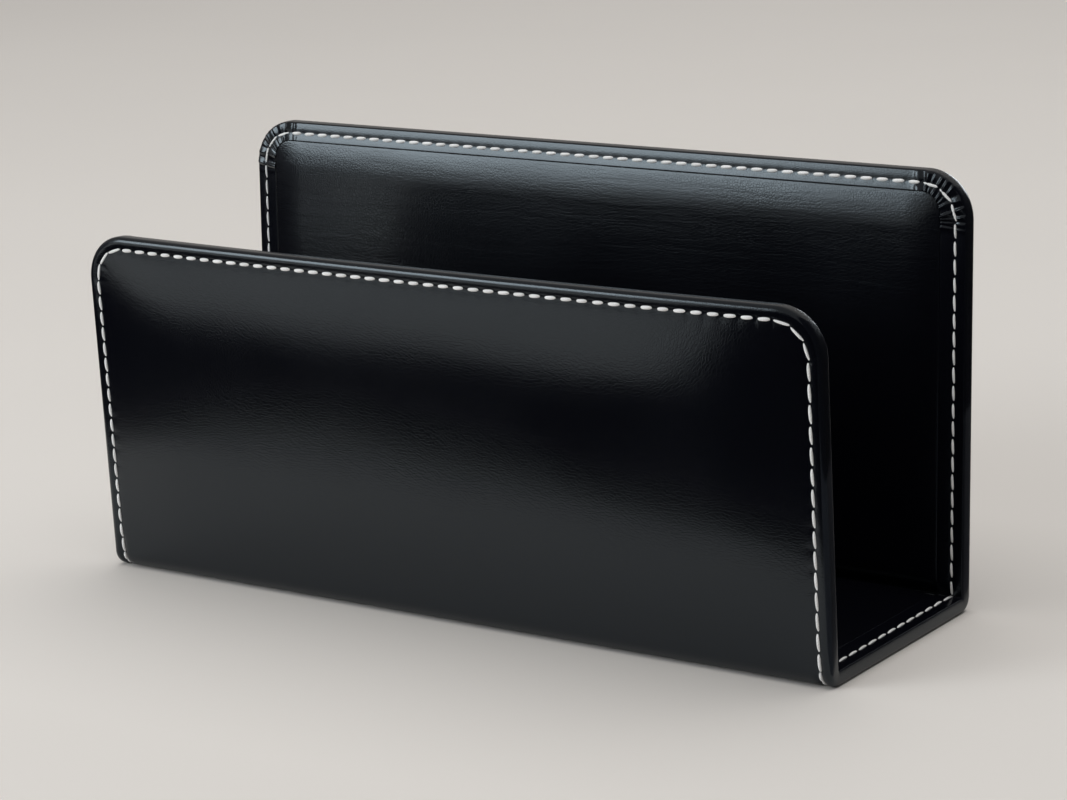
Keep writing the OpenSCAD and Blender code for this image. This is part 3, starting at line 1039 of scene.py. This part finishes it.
class HOLDER_OT_outer_cover(bpy.types.Operator):
    """Makes the outer leather with its padded faces, its turned-in edge and the pleated corners"""

    bl_idname = "holder.outer_cover"
    bl_label = "Outer cover"

    def execute(self, context):
        blank = Blank(context.scene)
        leather = context.scene.holder_leather
        thick = leather.cover
        edge = leather.edge_radius
        top = leather.turn_top
        side = leather.turn_side
        under = blank.turn_start
        sheet = Sheet(blank)

        def outside(u, s):
            return -blank.outer_swell(u, s) - blank.ripple(u, s) * blank.on_wall(s)

        def inside(u, s):
            return thick - blank.outer_swell(u, s)

        self.lay_face(blank, sheet)
        self.lay_rim(blank, sheet, leather)
        self.lay_band(blank, sheet, leather)
        for back, step, corners in UNDERSIDE:
            loop = blank.loop(top - back, side - back, step, corners)
            sheet.lay(loop, under + blank.band_lift(loop))
        loop = blank.loop(edge, edge, COARSE_STEP, COARSE_CORNER)
        sheet.lay(loop, under)
        sheet.lay(loop, thick)
        for inset, corners in ((COVER_INNER_LOOP, COARSE_CORNER), (blank.corner, 0)):
            loop = blank.loop(inset, inset, COARSE_STEP, corners)
            sheet.lay(loop, inside(loop.u, loop.s))
        sheet.close(COARSE_STEP, outside, COARSE_STEP, inside)
        colour = context.scene.holder_finish.cover_colour
        material = leather_material("black_cover_leather", colour, *COVER_LOOK)
        thing = sheet.build("outer_leather", material)
        settle(thing, "cover_leather", "outer_cover")
        return {"FINISHED"}

    def lay_face(self, blank, sheet):
        """Outer face out to the edge, and the outer rounding of the edge."""
        rings = [(blank.corner, COARSE_STEP, 0), *COARSE_FACE]
        rings += [(inset / 1000, 1, CORNER_SEGMENTS) for inset in FINE_FACE]
        for inset, step, corners in rings:
            loop = blank.loop(inset, inset, step, corners)
            sheet.lay(loop, -blank.outer_relief(loop))
        for inset, fall in EDGE_ROLL:
            loop = blank.loop(inset / 1000, inset / 1000)
            sheet.lay(loop, fall / 1000 - blank.outer_relief(loop) * inset / FINE_FACE[-1])

    def lay_rim(self, blank, sheet, leather):
        """Inner side of the edge, with its tighter roll."""
        roll = leather.inner_roll
        for share, fall in RIM_STEPS:
            inset = fall * leather.crown
            loop = blank.loop(inset, inset, 1, 2 * CORNER_SEGMENTS)
            sheet.lay(loop, share * blank.rim)
        for turn in np.radians(ROLL_TURNS):
            inset = leather.crown + roll * (1 - math.cos(turn))
            loop = blank.loop(inset, inset, 1, PLEAT_SEGMENTS)
            sheet.lay(loop, blank.rim - roll * (1 - math.sin(turn)) + blank.band_relief(loop))

    def lay_band(self, blank, sheet, leather):
        """Turned-in leather as far as its cut, and the rounded cut."""
        widths = (leather.turn_top, leather.turn_side)
        insets = [(inset / 1000, inset / 1000) for inset in BAND]
        for share in CUT_SHARES:
            insets.append([BAND_END + (width - CUT_ROUND - BAND_END) * share for width in widths])
        for top, side in insets:
            loop = blank.loop(top, side, 1, PLEAT_SEGMENTS)
            sheet.lay(loop, blank.rim + blank.band_relief(loop))
        for turn in np.radians(CUT_TURNS):
            back = CUT_ROUND * (1 - math.sin(turn))
            loop = blank.loop(widths[0] - back, widths[1] - back, 1, PLEAT_SEGMENTS)
            sheet.lay(loop, blank.rim - CUT_ROUND * (1 - math.cos(turn)) + blank.band_relief(loop))


class HOLDER_OT_inner_lining(bpy.types.Operator):
    """Makes the lining, padded level with the turned-in edge that covers its margin"""

    bl_idname = "holder.inner_lining"
    bl_label = "Inner lining"

    def execute(self, context):
        blank = Blank(context.scene)
        leather = context.scene.holder_leather
        edge = leather.edge_radius
        top = leather.turn_top
        side = leather.turn_side
        corner = blank.corner
        under = blank.lining_top
        over = blank.turn_start
        sheet = Sheet(blank)

        def ripple(u, s):
            return blank.ripple(u + LINING_SHIFT, s) * LINING_RIPPLE

        def hidden(u, s):
            return under + blank.inner_swell(u, s)

        def shown(u, s):
            return over + blank.inner_swell(u, s) + ripple(u, s)

        loop = blank.loop(corner, corner, COARSE_STEP, 0)
        sheet.lay(loop, hidden(loop.u, loop.s))
        loop = blank.loop(top + LINING_PAST, side + LINING_PAST, COARSE_STEP, COARSE_CORNER)
        sheet.lay(loop, hidden(loop.u, loop.s))
        loop = blank.loop(top - LINING_SHORT, side - LINING_SHORT, COARSE_STEP, COARSE_CORNER)
        sheet.lay(loop, under + blank.band_lift(loop))
        loop = blank.loop(edge, edge, COARSE_STEP, COARSE_CORNER)
        sheet.lay(loop, under)
        sheet.lay(loop, over)
        for back, corners in LINING_MARGIN:
            loop = blank.loop(top - back, side - back, MIDDLE_STEP, corners)
            sheet.lay(loop, over + blank.band_lift(loop))
        for out, share in LINING_RISE:
            loop = blank.loop(top + out / 1000, side + out / 1000, MIDDLE_STEP, CORNER_SEGMENTS)
            low = blank.band_lift(loop)
            high = blank.inner_swell(loop.u, loop.s)
            near = soft_step(out / LINING_RISE[-1][0])
            sheet.lay(loop, over + low + share * (high - low) + near * ripple(loop.u, loop.s))
        for inset, corners in ((LINING_INNER_LOOP, 2 * COARSE_CORNER), (corner, 0)):
            loop = blank.loop(inset, inset, MIDDLE_STEP, corners)
            sheet.lay(loop, shown(loop.u, loop.s))
        sheet.close(COARSE_STEP, hidden, MIDDLE_STEP, shown)
        colour = context.scene.holder_finish.lining_colour
        material = leather_material("black_lining_leather", colour, *LINING_LOOK)
        thing = sheet.build("lining_leather", material)
        settle(thing, "lining_leather", "inner_lining")
        return {"FINISHED"}


def stored(tree, name, kind):
    """Socket of a value kept at the points."""
    node = put(tree, "GeometryNodeInputNamedAttribute", {"Name": name}, data_type=kind)
    return node.outputs["Attribute"]


def stitch_tree():
    """Geometry nodes: one bent, twisted stitch, set at each point along its row."""
    inputs = (
        ("Geometry", SHAPE),
        ("Thread", NUMBER),
        ("End Dip", NUMBER, STITCH_END_DIP),
        ("Slant", NUMBER),
        ("Twist", NUMBER, STITCH_TWIST),
        ("Finish", "NodeSocketMaterial"),
    )
    tree, given, leave = new_group("stitch row", "GeometryNodeTree", inputs, (("Geometry", SHAPE),))
    line = put(tree, "GeometryNodeCurvePrimitiveLine", {"Start": (-0.5, 0, 0), "End": (0.5, 0, 0)})
    fine = put(tree, "GeometryNodeResampleCurve", {"Curve": line.outputs["Curve"], "Count": 7})
    spot = put(tree, "GeometryNodeInputPosition").outputs["Position"]
    split = put(tree, "ShaderNodeSeparateXYZ", {0: spot}).outputs
    end = sum_up(tree, "ABSOLUTE", sum_up(tree, "MULTIPLY", split["X"], 2.0))
    sharp = sum_up(tree, "POWER", end, 3.0)
    drop = sum_up(tree, "MULTIPLY", sum_up(tree, "MULTIPLY", sharp, given["End Dip"]), -1.0)
    shift = put(tree, "ShaderNodeCombineXYZ", {"Z": drop}).outputs["Vector"]
    bent = put(tree, "GeometryNodeSetPosition", {"Geometry": fine.outputs["Curve"], "Offset": shift})
    radius = sum_up(tree, "MULTIPLY", given["Thread"], 0.5)
    ring = put(tree, "GeometryNodeCurvePrimitiveCircle", {"Resolution": 8, "Radius": radius})
    tube_inputs = {
        "Curve": bent.outputs["Geometry"],
        "Profile Curve": ring.outputs["Curve"],
        "Scale": sum_up(tree, "SUBTRACT", 1.0, sum_up(tree, "MULTIPLY", sharp, 0.3)),
        "Fill Caps": True,
    }
    tube = put(tree, "GeometryNodeCurveToMesh", tube_inputs)
    round_it = sum_up(tree, "ARCTAN2", split["Y"], split["Z"])
    turned = sum_up(tree, "MULTIPLY", round_it, 1 / (2 * math.pi))
    twist = sum_up(tree, "MULTIPLY_ADD", split["X"], given["Twist"], turned)
    marked = put(
        tree,
        "GeometryNodeStoreNamedAttribute",
        {"Geometry": tube.outputs["Mesh"], "Name": "twist", "Value": twist},
        data_type="FLOAT",
        domain="POINT",
    )
    aim = put(
        tree,
        "FunctionNodeAxesToRotation",
        {
            "Primary Axis": stored(tree, "out", "FLOAT_VECTOR"),
            "Secondary Axis": stored(tree, "along", "FLOAT_VECTOR"),
        },
        primary_axis="Z",
        secondary_axis="X",
    )
    tilt = put(tree, "FunctionNodeAxisAngleToRotation", {"Axis": (0, 0, 1), "Angle": given["Slant"]})
    turn = put(
        tree,
        "FunctionNodeRotateRotation",
        {"Rotation": aim.outputs["Rotation"], "Rotate By": tilt.outputs["Rotation"]},
        rotation_space="LOCAL",
    )
    reach = stored(tree, "reach", "FLOAT")
    girth = stored(tree, "girth", "FLOAT")
    size = put(tree, "ShaderNodeCombineXYZ", {"X": reach, "Y": girth, "Z": girth})
    sown_inputs = {
        "Points": given["Geometry"],
        "Instance": marked.outputs["Geometry"],
        "Rotation": turn.outputs["Rotation"],
        "Scale": size.outputs["Vector"],
    }
    sown = put(tree, "GeometryNodeInstanceOnPoints", sown_inputs)
    real = put(tree, "GeometryNodeRealizeInstances", {"Geometry": sown.outputs["Instances"]})
    smooth = put(tree, "GeometryNodeSetShadeSmooth", {"Geometry": real.outputs["Geometry"]})
    finish_inputs = {"Geometry": smooth.outputs["Geometry"], "Material": given["Finish"]}
    dressed = put(tree, "GeometryNodeSetMaterial", finish_inputs)
    feed(tree, leave, "Geometry", dressed.outputs["Geometry"])
    return tree


Stitch = namedtuple("Stitch", "start middle end normal rising share girth")


def between(x, phases, values):
    """Point of a row of values at a phase of the row of stitches."""
    return [np.interp(x, phases, values[:, axis]) for axis in range(3)]


def row_places(blank, depth):
    """Both holes, the middle, the outward normal and the size of every stitch of a row."""
    stitching = blank.stitching
    fine = blank.loop(stitching.inset, stitching.inset, 1, PLEAT_SEGMENTS)
    path = blank.fold(fine.u, fine.s, depth(fine))
    face = path - blank.fold(fine.u, fine.s, depth(fine) + NORMAL_PROBE)
    places = []
    for part, (a, b) in enumerate(zip(fine.starts[:-1], fine.starts[1:])):
        ring = np.arange(a, b + 1) % len(fine.u)
        phase = fine.phase[a:b]
        rising = phase[-1] > phase[0]
        phases = np.append(phase, round(2 * phase[-1] - phase[-2]))
        if not rising:
            ring = ring[::-1]
            phases = phases[::-1]
        if part in (FRONT_TOP, BACK_TOP):
            share = stitching.top_share
            girth = 1.0
        elif part in (RIGHT, LEFT):
            share = stitching.side_share
            girth = SIDE_GIRTH
        else:
            share = stitching.corner_share
            girth = CORNER_GIRTH
        for k in range(round(phases[0]), round(phases[-1])):
            spots = [between(k + way, phases, path[ring]) for way in (0.0, 0.5, 1.0)]
            normal = between(k + 0.5, phases, face[ring])
            places.append(Stitch(*spots, normal, rising, share, girth))
    return places


class HOLDER_OT_stitches(bpy.types.Operator):
    """Sets both rows of stitches round the whole edge"""

    bl_idname = "holder.stitches"
    bl_label = "Stitches"

    def execute(self, context):
        blank = Blank(context.scene)
        stitching = context.scene.holder_stitching
        material = thread_material(context.scene.holder_finish.thread_colour)
        tree = stitch_tree()

        def outer_depth(loop):
            return stitching.thread / 2 - stitching.proud * blank.on_wall(loop.s)

        def inner_depth(loop):
            return blank.rim + blank.band_lift(loop) - stitching.under_thread / 2 + stitching.proud

        for side, depth, outward, size, slant in (
            ("outer", outer_depth, 1.0, stitching.thread, stitching.outer_slant),
            ("inner", inner_depth, -1.0, stitching.under_thread, stitching.inner_slant),
        ):
            row = self.sew(blank, f"{side}_stitches", depth, outward, size, slant, tree, material)
            settle(row, "thread", f"{side}_thread")
        return {"FINISHED"}

    def sew(self, blank, name, depth, outward, size, slant, tree, material):
        random = np.random.default_rng(THREAD_SEED)
        columns = [np.array(column) for column in zip(*row_places(blank, depth))]
        start, middle, end, normal, rising, share, girth = columns
        along = (end - start) * np.where(rising, 1.0, -1.0)[:, None]
        reach = np.linalg.norm(along, axis=1) * share
        reach = reach * random.uniform(*STITCH_LENGTHS, len(reach))
        places = (middle + (start + end) / 2) / 2
        if outward < 0:
            girth[girth == SIDE_GIRTH] = INNER_SIDE_GIRTH
        mesh = bpy.data.meshes.new(name)
        mesh.from_pydata(places.tolist(), [], [])
        for label, kind, values in (
            ("along", "FLOAT_VECTOR", along),
            ("out", "FLOAT_VECTOR", outward * normal),
            ("reach", "FLOAT", reach),
            ("girth", "FLOAT", girth),
            ("shade", "FLOAT", random.uniform(0, 1, len(reach))),
        ):
            store = mesh.attributes.new(label, kind, "POINT")
            key = "vector" if kind == "FLOAT_VECTOR" else "value"
            store.data.foreach_set(key, np.asarray(values, np.float32).ravel())
        row = bpy.data.objects.new(name, mesh)
        bpy.context.scene.collection.objects.link(row)
        modifier = row.modifiers.new("Stitches", "NODES")
        modifier.node_group = tree
        inputs = {i.name: i.identifier for i in tree.interface.items_tree if i.in_out == "INPUT"}
        modifier[inputs["Thread"]] = size
        modifier[inputs["Slant"]] = slant
        modifier[inputs["Finish"]] = material
        graph = bpy.context.evaluated_depsgraph_get()
        graph.update()
        made = bpy.data.meshes.new_from_object(row.evaluated_get(graph), depsgraph=graph)
        row.modifiers.remove(modifier)
        row.data = made
        made.name = name
        bpy.data.meshes.remove(mesh)
        for label in ("along", "out", "reach", "girth"):
            if label in made.attributes:
                made.attributes.remove(made.attributes[label])
        return row


def wall_plate(blank, back, inset, foot, outer, inner, name, material):
    """Closed plate in a wall with rounded top corners, between two depths given as functions."""
    r = blank.corner - inset
    wall = blank.walls[1] if back else blank.walls[0]
    turn = r * (1 - np.cos(np.linspace(0, math.pi / 2, PLATE_TURN)))
    runs = np.concatenate((inset + turn, np.linspace(inset + r, wall - foot, PLATE_DOWN)[1:]))
    narrow = r - np.sqrt(np.maximum(r * r - np.maximum(r + inset - runs, 0) ** 2, 0))
    half = blank.half - inset - narrow
    across = np.linspace(-1, 1, PLATE_ACROSS)
    u = half[:, None] * across[None, :]
    s = np.repeat((blank.length - runs if back else runs)[:, None], len(across), axis=1)
    return closed_plate(blank, u, s, back, outer, inner, name, material)


def closed_plate(blank, u, s, flipped, outer, inner, name, material):
    """Closed plate over a grid of u and s."""
    skin = Skin()
    flat_u = u.ravel()
    flat_s = s.ravel()
    first = skin.add(blank.fold(flat_u, flat_s, outer(flat_u, flat_s))).reshape(u.shape)
    second = skin.add(blank.fold(flat_u, flat_s, inner(flat_u, flat_s))).reshape(u.shape)
    skin.quilt(first, not flipped)
    skin.quilt(second, flipped)

    def border(grid):
        return np.concatenate((grid[0, :-1], grid[:-1, -1], grid[-1, :0:-1], grid[::-1, 0]))

    rims = (border(second), border(first)) if flipped else (border(first), border(second))
    skin.zip_up(*rims)
    return skin.build(name, material)


class HOLDER_OT_boards(bpy.types.Operator):
    """Makes the bowed front board and the bend strips, and finishes the other two boards"""

    bl_idname = "holder.boards"
    bl_label = "Boards and strips"

    def execute(self, context):
        blank = Blank(context.scene)
        finish = context.scene.holder_finish
        board = fibre_material("fibreboard", finish.board_colour, *BOARD_LOOK)
        strip = fibre_material("bend_strip", finish.strip_colour, *STRIP_LOOK)
        edge = context.scene.holder_leather.edge_radius
        top = blank.board_top
        middle = top + context.scene.holder_leather.board / 2

        def outer(u, s):
            return np.full(u.shape, top)

        def inner(u, s):
            return np.where(blank.walls[0] - s < BOARD_LAP, middle, blank.lining_top)

        def strip_outer(u, s):
            return np.full(u.shape, middle)

        def strip_inner(u, s):
            return np.full(u.shape, blank.lining_top)

        thing = wall_plate(blank, False, edge, 0.0, outer, inner, "bowed_front_board", board)
        settle(thing, "fibreboard", "front_board")
        across = np.linspace(edge - blank.half, blank.half - edge, STRIP_ACROSS)
        for first, wall in ((1, "front"), (3, "back")):
            start, end = blank.stops[first : first + 2]
            bend = np.linspace(start, end, STRIP_ROUND)
            down = np.concatenate(([start - BOARD_LAP], bend, [end + BOARD_LAP]))
            u, s = np.meshgrid(across, down)
            thing = closed_plate(blank, u, s, False, strip_outer, strip_inner, f"{wall}_strip", strip)
            settle(thing, "bend_strip", f"{wall}_bend_strip")
        for node in ("base_board", "back_board"):
            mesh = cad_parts[node].data
            mesh.materials.clear()
            mesh.materials.append(board)
        return {"FINISHED"}


class HOLDER_OT_pads(bpy.types.Operator):
    """Makes the thin foam pads under both leathers"""

    bl_idname = "holder.pads"
    bl_label = "Pads"

    def execute(self, context):
        blank = Blank(context.scene)
        leather = context.scene.holder_leather
        foam = fibre_material("pad_foam", context.scene.holder_finish.foam_colour, *FOAM_LOOK)
        top = blank.board_top
        bottom = blank.lining_top

        def outer_face(u, s):
            return top - np.maximum(blank.outer_swell(u, s), PAD_LIP)

        def outer_back(u, s):
            return np.full(u.shape, top)

        def inner_back(u, s):
            return np.full(u.shape, bottom)

        def inner_face(u, s):
            return bottom + blank.inner_swell(u, s)

        for back, wall in ((False, "front"), (True, "back")):
            inset = leather.outer_margin + OUTER_PAD_GAP
            name = f"{wall}_outer_foam"
            thing = wall_plate(blank, back, inset, PAD_FOOT, outer_face, outer_back, name, foam)
            self.place(thing, f"{wall}_outer_pad")
            inset = leather.turn_side + INNER_PAD_GAP
            name = f"{wall}_inner_foam"
            thing = wall_plate(blank, back, inset, PAD_FOOT, inner_back, inner_face, name, foam)
            self.place(thing, f"{wall}_inner_pad")
        half = blank.half - leather.turn_side - INNER_PAD_GAP
        across = np.linspace(-half, half, PLATE_ACROSS)
        down = np.linspace(blank.stops[2] + PAD_FOOT, blank.stops[3] - PAD_FOOT, BASE_DOWN)
        u, s = np.meshgrid(across, down)
        thing = closed_plate(blank, u, s, False, inner_back, inner_face, "base_inner_foam", foam)
        self.place(thing, "base_inner_pad")
        return {"FINISHED"}

    def place(self, thing, node):
        settle(thing, "pad_foam", node)


class HOLDER_OT_stage(bpy.types.Operator):
    """Sets the floor, the lamps, the cards that the gloss shows and the camera"""

    bl_idname = "holder.stage"
    bl_label = "Stage"

    def execute(self, context):
        stage = context.scene.holder_stage
        context.scene.view_settings.view_transform = "Standard"
        self.add_floor(context)
        self.add_surround(context, stage.surround)
        ceiling = self.add_lamp("ceiling_softbox", *CEILING, WARM)
        ceiling.visible_glossy = False
        for name, height, tall, glow in GLOSS_BOXES:
            power = glow * math.pi * GLOSS_BOX_WIDTH * tall
            place = (GLOSS_BOX_X, GLOSS_BOX_Y, height)
            aim = (0, 0, height - GLOSS_BOX_DIP)
            self.add_lamp(name, place, aim, (GLOSS_BOX_WIDTH, tall), power, COOL)
        fill = self.add_lamp("fill_softbox", *FILL, COOL)
        fill.visible_glossy = False
        rim = self.add_lamp("rim_softbox", *BACK_RIM, COOL)
        rim.visible_diffuse = False
        for name, card in CARDS.items():
            self.add_card(context, name, *card)
        self.add_camera(context, stage)
        return {"FINISHED"}

    def add_floor(self, context):
        mesh = bpy.data.meshes.new("floor")
        corners = [(x * FLOOR_HALF, y * FLOOR_HALF, 0) for x, y in ((-1, -1), (1, -1), (1, 1), (-1, 1))]
        mesh.from_pydata(corners, [], [(0, 1, 2, 3)])
        material, tree, shader, place = start_material("pale_floor")
        noise = put(tree, "ShaderNodeTexNoise", {"Vector": place, "Scale": 6.0}).outputs["Fac"]
        colour = context.scene.holder_finish.floor_colour
        feed(tree, shader, "Base Color", two_tones(tree, colour, 0.98, 1.02, noise))
        feed(tree, shader, "Roughness", 0.7)
        feed(tree, shader, "Specular IOR Level", 0.1)
        mesh.materials.append(material)
        floor = bpy.data.objects.new("floor", mesh)
        context.scene.collection.objects.link(floor)

    def add_card(self, context, name, line, tone, foot):
        """Dark or mid-toned card seen only in the gloss of the leather."""
        count = len(line)
        mesh = bpy.data.meshes.new(name)
        low = [(x, y, foot) for x, y, tall in line]
        faces = [(i, i + 1, count + i + 1, count + i) for i in range(count - 1)]
        mesh.from_pydata(low + list(line), [], faces)
        material, tree, shader, place = start_material(name)
        feed(tree, shader, "Base Color", (tone, tone, 1.1 * tone, 1))
        feed(tree, shader, "Roughness", 1.0)
        feed(tree, shader, "Specular IOR Level", 0.0)
        mesh.materials.append(material)
        card = bpy.data.objects.new(name, mesh)
        card.visible_camera = False
        card.visible_diffuse = False
        card.visible_shadow = False
        context.scene.collection.objects.link(card)

    def add_surround(self, context, colour):
        """World that lights with one colour and is seen in another."""
        world = bpy.data.worlds.new("surround")
        world.use_nodes = True
        tree = world.node_tree
        ray = put(tree, "ShaderNodeLightPath").outputs
        seen = sum_up(tree, "ADD", ray["Is Camera Ray"], ray["Is Glossy Ray"])
        seen = sum_up(tree, "ADD", seen, ray["Is Transmission Ray"])
        light = list(colour) + [1]
        backdrop = list(context.scene.holder_finish.backdrop_colour) + [1]
        shown = put(tree, "ShaderNodeMix", {0: seen, 6: light, 7: backdrop}, data_type="RGBA")
        feed(tree, tree.nodes["Background"], "Color", shown.outputs[2])
        context.scene.world = world

    def add_lamp(self, name, place, aim, size, power, colour):
        lamp = bpy.data.lights.new(name, "AREA")
        lamp.shape = "RECTANGLE"
        lamp.size = size[0]
        lamp.size_y = size[1]
        lamp.energy = power
        lamp.color = colour
        thing = bpy.data.objects.new(name, lamp)
        thing.location = place
        thing.rotation_euler = (Vector(aim) - Vector(place)).to_track_quat("-Z", "Y").to_euler()
        thing.visible_camera = False
        bpy.context.scene.collection.objects.link(thing)
        return thing

    def add_camera(self, context, stage):
        tall = math.cos(stage.elevation)
        back = Vector(
            (math.sin(stage.azimuth) * tall, -math.cos(stage.azimuth) * tall, math.sin(stage.elevation))
        )
        level = (-back).cross(Vector((0, 0, 1))).normalized()
        upright = level.cross(-back)
        right = math.cos(stage.roll) * level + math.sin(stage.roll) * upright
        up = math.cos(stage.roll) * upright - math.sin(stage.roll) * level
        across, down, away = stage.offset
        place = -across * right + down * up + away * back
        lens = bpy.data.cameras.new("photo_view")
        lens.sensor_width = SENSOR_WIDTH
        lens.lens = stage.focal_pixels / PHOTO_WIDTH * SENSOR_WIDTH
        lens.clip_start = 0.05
        lens.clip_end = 20.0
        camera = bpy.data.objects.new("photo_view", lens)
        turn = Matrix((right, up, back)).transposed().to_4x4()
        camera.matrix_world = Matrix.Translation(place) @ turn
        context.scene.collection.objects.link(camera)
        context.scene.camera = camera


class HOLDER_PT_panel(bpy.types.Panel):
    """Lists the pieces of the letter holder"""

    bl_idname = "HOLDER_PT_panel"
    bl_label = "Letter Holder"
    bl_space_type = "VIEW_3D"
    bl_region_type = "UI"
    bl_category = "Letter Holder"

    def draw(self, context):
        layout = self.layout
        for name, group in GROUPS.items():
            box = layout.box()
            box.label(text=group.__doc__.rstrip("."))
            settings = getattr(context.scene, name)
            for key in group.__annotations__:
                box.prop(settings, key)
        for operator in OPERATORS:
            layout.operator(operator.bl_idname)


GROUPS = {
    "holder_shape": HolderShape,
    "holder_leather": HolderLeather,
    "holder_stitching": HolderStitching,
    "holder_finish": HolderFinish,
    "holder_stage": HolderStage,
}
OPERATORS = (
    HOLDER_OT_stage,
    HOLDER_OT_outer_cover,
    HOLDER_OT_inner_lining,
    HOLDER_OT_stitches,
    HOLDER_OT_boards,
    HOLDER_OT_pads,
)
CLASSES = tuple(GROUPS.values()) + OPERATORS + (HOLDER_PT_panel,)


def register():
    for cls in CLASSES:
        bpy.utils.register_class(cls)
    for name, group in GROUPS.items():
        setattr(bpy.types.Scene, name, bpy.props.PointerProperty(type=group))


def unregister():
    for name in GROUPS:
        delattr(bpy.types.Scene, name)
    for cls in reversed(CLASSES):
        bpy.utils.unregister_class(cls)


def main():
    register()
    bpy.ops.holder.stage()
    bpy.ops.holder.outer_cover()
    bpy.ops.holder.inner_lining()
    bpy.ops.holder.stitches()
    bpy.ops.holder.boards()
    bpy.ops.holder.pads()


if __name__ == "__main__":
    main()
